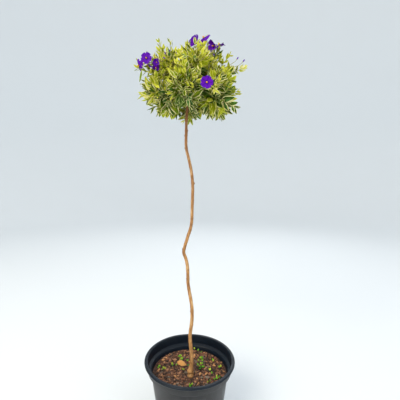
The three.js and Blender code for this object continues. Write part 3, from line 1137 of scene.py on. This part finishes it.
def dress(twig, patterns, leaves, s, share, rng):
    """Sets leaves round the end of a twig: old ones below, spreading, and young ones round its tip."""
    run, outward, kind, _ = twig
    places = [place for place, _ in run]
    lengths = [0.0]
    for a, b in zip(places, places[1:]):
        lengths.append(lengths[-1] + (b - a).length)
    total = lengths[-1]
    # Tints by height: the deeper greens low down are partly painted shade, and the paler ones high up are
    # partly painted light.
    chances = np.array([low + (high - low) * share for _, low, high in TINTS])
    tint = TINTS[rng.choice(len(TINTS), p=chances / chances.sum())][0]
    dressed = min(total * 0.92, s.dressed * {"twig": 1, "shoot": 1.25, "bare": 0.3}[kind])
    count = max(4, round(dressed / s.leaf_step))
    turn = rng.uniform(0, 2 * math.pi)
    droop = 0.75 - 1.15 * share
    for number in range(count + 3):
        young = min(1, number / count)
        at = total - dressed * (1 - young)
        k = max(1, int(np.searchsorted(lengths, min(at, total - 1e-6))))
        along = (places[k] - places[k - 1]).normalized()
        place = places[k - 1] + along * (at - lengths[k - 1])
        turn += GOLDEN_ANGLE + rng.normal() * 0.25
        side = along.orthogonal().normalized()
        side = Matrix.Rotation(turn, 3, along) @ side
        spread = math.radians(76 - 36 * young + rng.normal() * 13)
        way = along * math.cos(spread) + side * math.sin(spread)
        way = way + outward * 0.1 - UP * droop * (0.8 - 0.5 * young)
        face = outward * 0.9 + UP * 0.6 + Vector(rng.normal(size=3)) * 0.4
        full_size = s.leaf_length * rng.uniform(0.72, 1.12)
        size = full_size * (1 - 0.45 * young**1.5) * (1.2 - 0.34 * share)
        size *= {"twig": 1, "shoot": 0.82, "bare": 0.62}[kind]
        old = rng.random() > young
        pattern = patterns[rng.choice((0, 1, 2, 4) if old else (1, 3, 3, 5))]
        colours = list(tint)
        if young > 0.75 and share > 0.35 and rng.random() < 0.6:
            colours = [PALE, LIME, BUTTER]
        leaves.add(pattern, facing(place, way, face, size), colours)


class POTATO_BUSH_OT_head(Operator):
    """Grow the head: branches and twigs from every bough, and sprays of cream-edged leaves on the twigs"""

    bl_idname = "potato_bush.head"
    bl_label = "Twigs and Leaves"

    def execute(self, context):
        s = context.scene.bush_head
        branches, twigs = grow_head(s)
        low, high = head_box()
        green_wood = plain_material("Green twig", "#86873f", 0.6)
        runs = branches + [run for run, *_ in twigs]
        piece = limbs("twigs", runs, 6, green_wood)
        hand_over(piece, "bark")
        rng = np.random.default_rng(s.seed + 1)
        patterns = leaf_patterns()
        lower, upper = Joined(), Joined()
        for twig in twigs:
            end = twig[0][-1][0]
            share = min(1, max(0, (end.z - low.z) / (high.z - 0.03 - low.z)))
            leaves = lower if twig[3].node in LOWER_MASSES else upper
            dress(twig, patterns, leaves, s, share, rng)
        for share, way, length, colours in HANGING:
            place = in_box(low, high, share)
            face = Vector((-0.8, -0.6, 0.3))
            upper.add(patterns[3], facing(place, Vector(way), face, length), colours)
        materials = [plain_material(name, code, 0.55, Specular_IOR_Level=0.1) for name, code in LEAF_COLOURS]
        for leaves, name, nodes, slot in (
            (lower, "leaves_lower", LOWER_MASSES, "lower_leaves"),
            (upper, "leaves_upper", UPPER_MASSES, "upper_leaves"),
        ):
            piece = leaves.piece(name, materials)
            hand_over(piece, slot, *nodes)
        return {"FINISHED"}


# ---- flowers -------------------------------------------------------------------------------------

VIOLET, STAR, POLLEN, CALYX = range(4)
FLOWERS = (  # shares of the head's box across, deep and up, then bearing and rise in degrees, form and size
    (0.615, 0.04, 0.30, 4, -6, "open", 0.93),
    (0.12, 0.38, 0.705, -6, -4, "open", 0.92),
    (0.045, 0.45, 0.65, -62, -22, "reflexed", 1.0),
    (0.13, 0.40, 0.645, -115, -35, "folded", 0.85),
    (0.21, 0.35, 0.64, -5, 0, "cupped", 0.62),
    (0.205, 0.33, 0.575, 15, -50, "folded", 0.6),
    (0.268, 0.40, 0.66, 80, 10, "folded", 0.45),
    (0.535, 0.40, 0.90, -48, 16, "cupped", 1.1),
    (0.61, 0.43, 0.965, -45, 40, "reflexed", 1.1),
    (0.592, 0.36, 0.84, -10, 20, "folded", 0.42),
    (0.69, 0.38, 0.845, -62, -12, "cupped", 1.05),
    (0.745, 0.43, 0.88, -30, 60, "folded", 1.0),
    (0.78, 0.90, 0.66, 150, 15, "open", 0.95),
    (0.38, 0.96, 0.70, 185, 20, "open", 1.0),
    (0.30, 0.90, 0.84, 205, 30, "cupped", 0.9),
    (0.66, 0.93, 0.50, 160, 5, "open", 0.95),
    (0.52, 0.74, 0.93, 170, 45, "reflexed", 0.9),
    (0.10, 0.86, 0.42, 215, 8, "open", 0.92),
)
BUDS = (  # the same shares, then bearing and rise of the bud, and its size
    (0.483, 0.46, 0.925, 60, 50, 1.0),
    (0.892, 0.44, 0.71, 60, 50, 0.75),
    (0.945, 0.45, 0.685, 60, 45, 0.8),
    (0.69, 0.41, 0.775, 40, -60, 0.7),
    (0.295, 0.33, 0.72, -60, 35, 0.7),
    (0.29, 0.33, 0.675, -75, 15, 0.7),
    (0.325, 0.33, 0.745, -20, 50, 0.6),
    (0.375, 0.33, 0.73, 20, 60, 0.6),
    (0.45, 0.93, 0.78, 170, 50, 0.8),
    (0.80, 0.85, 0.80, 150, 45, 0.8),
    (0.15, 0.80, 0.72, 230, 40, 0.8),
)


def shape_corolla(cup, bend, bent):
    """An open flower one across, facing +Z: five broad joined petals, notched, darker at their middles."""
    deselect_all()
    rings, sides = 6, 60
    bpy.ops.mesh.primitive_circle_add(vertices=sides, radius=0.5, fill_type="NGON")
    piece = bpy.context.object
    bpy.ops.object.mode_set(mode="EDIT")
    bpy.ops.mesh.select_all(action="SELECT")
    for _ in range(rings):
        bpy.ops.mesh.inset(thickness=0.07)

    def bearing(co):
        return math.degrees(math.atan2(co.y, co.x)) % 72

    def reach(co):
        return math.hypot(co.x, co.y)

    for span, near, pull in ((4, 0.47, 0.84), (10, 0.47, 0.93), (4, 0.40, 0.93)):
        select_where(lambda co: abs(bearing(co) - 36) < span and near - 0.05 < reach(co) < near + 0.05)
        bpy.ops.transform.resize(value=(pull, pull, 1), center_override=(0, 0, 0))
    for ring in range(rings + 1):
        inner, outer = 0.04 + 0.07 * ring, 0.11 + 0.07 * ring
        select_where(lambda co: inner < reach(co) < outer)
        bpy.ops.transform.translate(value=(0, 0, cup * (2 * inner) ** 2))
    select_where(lambda co: reach(co) > 0.40 and math.sin(math.radians(5 * bearing(co))) > 0.3)
    bpy.ops.transform.translate(value=(0, 0, 0.02))
    select_where(lambda co: reach(co) > 0.2 and abs(bearing(co) - 36) < 4)
    bpy.ops.transform.translate(value=(0, 0, -0.02))
    for petal in bent:
        middle = 72 * petal
        axis = Vector((-math.sin(math.radians(middle)), math.cos(math.radians(middle)), 0))

        def on_petal(co):
            away = (math.degrees(math.atan2(co.y, co.x)) - middle + 180) % 360 - 180
            return abs(away) < 35 and reach(co) > 0.17

        hinge = Vector((math.cos(math.radians(middle)), math.sin(math.radians(middle)), 0)) * 0.17
        turn = Matrix.Rotation(math.radians(bend), 4, axis)
        shape = bmesh.from_edit_mesh(piece.data)
        for vertex in shape.verts:
            if on_petal(vertex.co):
                vertex.co = hinge + turn @ (vertex.co - hinge)
        bmesh.update_edit_mesh(piece.data)
    bpy.ops.object.mode_set(mode="OBJECT")
    for face in piece.data.polygons:
        centre = face.center
        mid_petal = min(bearing(centre), 72 - bearing(centre)) < 6
        face.material_index = STAR if reach(centre) < 0.13 or (mid_petal and reach(centre) < 0.4) else VIOLET
    return Pattern(finished(piece, "corolla", []))


def shape_anthers():
    """The yellow cone of anthers in the middle of a flower."""
    deselect_all()
    middle = (0, 0, 0.07)
    bpy.ops.mesh.primitive_cone_add(vertices=10, radius1=0.075, radius2=0.045, depth=0.13, location=middle)
    piece = bpy.context.object
    bpy.ops.object.transform_apply(location=True)
    bpy.ops.object.mode_set(mode="EDIT")
    select_where(lambda co: co.z > 0.13)
    bpy.ops.mesh.inset(thickness=0.012)
    bpy.ops.transform.translate(value=(0, 0, 0.02))
    bpy.ops.object.mode_set(mode="OBJECT")
    for face in piece.data.polygons:
        face.material_index = POLLEN
    return Pattern(finished(piece, "anthers", []))


def shape_bud(open_share):
    """A bud one long, pointing along +Z from its calyx at the origin; open_share of it is petal."""
    deselect_all()
    bpy.ops.mesh.primitive_uv_sphere_add(segments=10, ring_count=8, radius=0.5, location=(0, 0, 0.5))
    piece = bpy.context.object
    bpy.ops.object.transform_apply(location=True)
    bpy.ops.object.mode_set(mode="EDIT")
    bpy.ops.mesh.select_all(action="SELECT")
    bpy.ops.transform.resize(value=(0.36, 0.36, 1), center_override=(0, 0, 0.5))
    select_where(lambda co: co.z > 0.8)
    bpy.ops.transform.resize(value=(1.15, 1.15, 1), center_override=(0, 0, 0.5))
    bpy.ops.object.mode_set(mode="OBJECT")
    for face in piece.data.polygons:
        face.material_index = VIOLET if face.center.z > 1 - open_share else CALYX
    return Pattern(finished(piece, "bud", []))


def pointing(bearing, rise):
    """The way that a flower looks, from its bearing off the front and its rise, both in degrees."""
    b, e = math.radians(bearing), math.radians(rise)
    return Vector((math.sin(b) * math.cos(e), -math.cos(b) * math.cos(e), math.sin(e)))


class POTATO_BUSH_OT_flowers(Operator):
    """Set the violet flowers and buds on their stalks round the head"""

    bl_idname = "potato_bush.flowers"
    bl_label = "Flowers"

    def execute(self, context):
        s = context.scene.bush_flowers
        rng = np.random.default_rng(s.seed)
        low, high = head_box()
        middle = (low + high) / 2
        corollas = {
            "open": shape_corolla(0.07, 0, ()),
            "reflexed": shape_corolla(-0.13, 28, (1, 3)),
            "cupped": shape_corolla(0.22, -18, (0, 2)),
            "folded": shape_corolla(0.12, 48, (0, 1, 3)),
        }
        anthers = shape_anthers()
        bud, calyx = shape_bud(0.68), shape_bud(0.0)
        slots = [VIOLET, STAR, POLLEN, CALYX]
        blossom, stalks = Joined(), []
        for x, y, z, bearing, rise, form, scale in FLOWERS:
            place = in_box(low, high, (x, y, z))
            way = pointing(bearing, rise)
            spin = Matrix.Rotation(rng.uniform(0, 2 * math.pi), 4, way)
            upward = spin.to_3x3() @ way.orthogonal()
            matrix = facing(place, upward, way, s.width * scale)
            blossom.add(corollas[form], matrix, slots)
            blossom.add(anthers, matrix, slots)
            back = place - way * 5 * MM * scale
            blossom.add(calyx, facing(back + way * 1.5 * MM, upward, -way, 7 * MM * scale), [CALYX] * 4)
            root = back.lerp(middle, 0.32) - UP * 8 * MM
            stalks.append(curved(back, back - way * 12 * MM - UP * 4 * MM, root, (0.75 * MM, 0.95 * MM), rng))
        for x, y, z, bearing, rise, scale in BUDS:
            place = in_box(low, high, (x, y, z))
            way = pointing(bearing, rise)
            blossom.add(bud, facing(place, way.orthogonal(), way, 12 * MM * scale), slots)
            root = place.lerp(middle, 0.32) - UP * 6 * MM
            stalks.append(curved(place, place - way * 10 * MM, root, (0.6 * MM, 0.9 * MM), rng))
        materials = [
            new_material("Velvety petal, violet", s.petal, 0.6, Specular_IOR_Level=0.12)[0],
            plain_material("Velvety petal, deep violet", "#3a0580", 0.6, Specular_IOR_Level=0.12),
            plain_material("Pollen-covered anther", "#f0ab1d", 0.6),
            plain_material("Downy calyx", "#a7a35a", 0.65),
        ]
        piece = blossom.piece("flowers", materials)
        hand_over(piece, "flowers")
        piece = limbs("flower_stalks", stalks, 6, plain_material("Green flower stalk", "#9a9a4c", 0.6))
        hand_over(piece, "bark")
        return {"FINISHED"}


# ---- stage ---------------------------------------------------------------------------------------


class POTATO_BUSH_OT_stage(Operator):
    """Set up the pale floor, the soft studio lights and the camera"""

    bl_idname = "potato_bush.stage"
    bl_label = "Stage"

    def execute(self, context):
        s = context.scene.bush_stage
        scene = context.scene
        flat, cove, wall_top = 3.0, 1.6, 4.9
        profile = arc((3.4, cove), cove, -90, 0, 14) + [(3.4 + cove, wall_top)]
        deselect_all()
        bpy.ops.mesh.primitive_circle_add(vertices=96, radius=flat, fill_type="NGON", location=(0, 0, 0))
        floor = context.object
        bpy.ops.object.mode_set(mode="EDIT")
        bpy.ops.mesh.select_mode(type="EDGE")
        bpy.ops.mesh.select_all(action="SELECT")
        radius, height = flat, 0.0
        for next_radius, next_height in profile:
            bpy.ops.mesh.extrude_edges_move(TRANSFORM_OT_translate={"value": (0, 0, next_height - height)})
            share = next_radius / radius
            bpy.ops.transform.resize(value=(share, share, 1), center_override=(0, 0, next_height))
            radius, height = next_radius, next_height
        bpy.ops.object.mode_set(mode="OBJECT")
        bpy.ops.object.shade_smooth()
        finished(floor, "pale_floor", [new_material("Matt painted board", s.floor, 0.9)[0]])

        target = Vector((0, 0, 0.6))
        lights = (
            ("key_light", (-1.5, -1.9, 2.3), 1.6, s.key_power, "#fff3df"),
            ("fill_light", (2.0, -1.4, 1.3), 2.0, s.fill_power, "#f4f8ff"),
            ("back_light", (0.6, 2.2, 2.2), 1.6, s.fill_power, "#ffffff"),
        )
        for name, place, size, power, colour in lights:
            lamp = bpy.data.lights.new(name, "AREA")
            lamp.energy, lamp.size, lamp.color = power, size, linear(colour)
            light = bpy.data.objects.new(name, lamp)
            light.location = place
            light.rotation_euler = (target - Vector(place)).to_track_quat("-Z", "Y").to_euler()
            scene.collection.objects.link(light)
        world = bpy.data.worlds.new("soft_daylight")
        world.use_nodes = True
        background = world.node_tree.nodes["Background"]
        background.inputs["Color"].default_value = (*linear("#f6f6f4"), 1)
        background.inputs["Strength"].default_value = 1.05
        scene.world = world
        scene.view_settings.view_transform = "Standard"

        lens = bpy.data.cameras.new("studio_camera")
        lens.lens, lens.sensor_width = s.lens, 36
        lens.shift_x, lens.shift_y = s.shift
        camera = bpy.data.objects.new("studio_camera", lens)
        camera.location = s.camera_place
        camera.rotation_euler = (math.pi / 2 - s.camera_drop, 0, 0)
        scene.collection.objects.link(camera)
        scene.camera = camera
        return {"FINISHED"}


class POTATO_BUSH_PT_sidebar(Panel):
    """The steps of the model, in the order they are run."""

    bl_idname = "POTATO_BUSH_PT_sidebar"
    bl_label = "Potato Bush"
    bl_space_type = "VIEW_3D"
    bl_region_type = "UI"
    bl_category = "Potato Bush"

    def draw(self, context):
        column = self.layout.column(align=True)
        for step in STEPS:
            column.operator(f"potato_bush.{step}")


STEPS = ("pot", "compost", "stem", "head", "flowers", "stage")
CLASSES = (
    PotSettings,
    CompostSettings,
    StemSettings,
    HeadSettings,
    FlowerSettings,
    StageSettings,
    POTATO_BUSH_OT_pot,
    POTATO_BUSH_OT_compost,
    POTATO_BUSH_OT_stem,
    POTATO_BUSH_OT_head,
    POTATO_BUSH_OT_flowers,
    POTATO_BUSH_OT_stage,
    POTATO_BUSH_PT_sidebar,
)
SETTINGS = {
    "bush_pot": PotSettings,
    "bush_compost": CompostSettings,
    "bush_stem": StemSettings,
    "bush_head": HeadSettings,
    "bush_flowers": FlowerSettings,
    "bush_stage": StageSettings,
}


def register():
    for cls in CLASSES:
        bpy.utils.register_class(cls)
    for name, cls in SETTINGS.items():
        setattr(bpy.types.Scene, name, PointerProperty(type=cls))


def unregister():
    for name in SETTINGS:
        delattr(bpy.types.Scene, name)
    for cls in reversed(CLASSES):
        bpy.utils.unregister_class(cls)


def main():
    register()
    bpy.ops.potato_bush.pot()
    bpy.ops.potato_bush.compost()
    bpy.ops.potato_bush.stem()
    bpy.ops.potato_bush.head()
    bpy.ops.potato_bush.flowers()
    bpy.ops.potato_bush.stage()


if __name__ == "__main__":
    main()
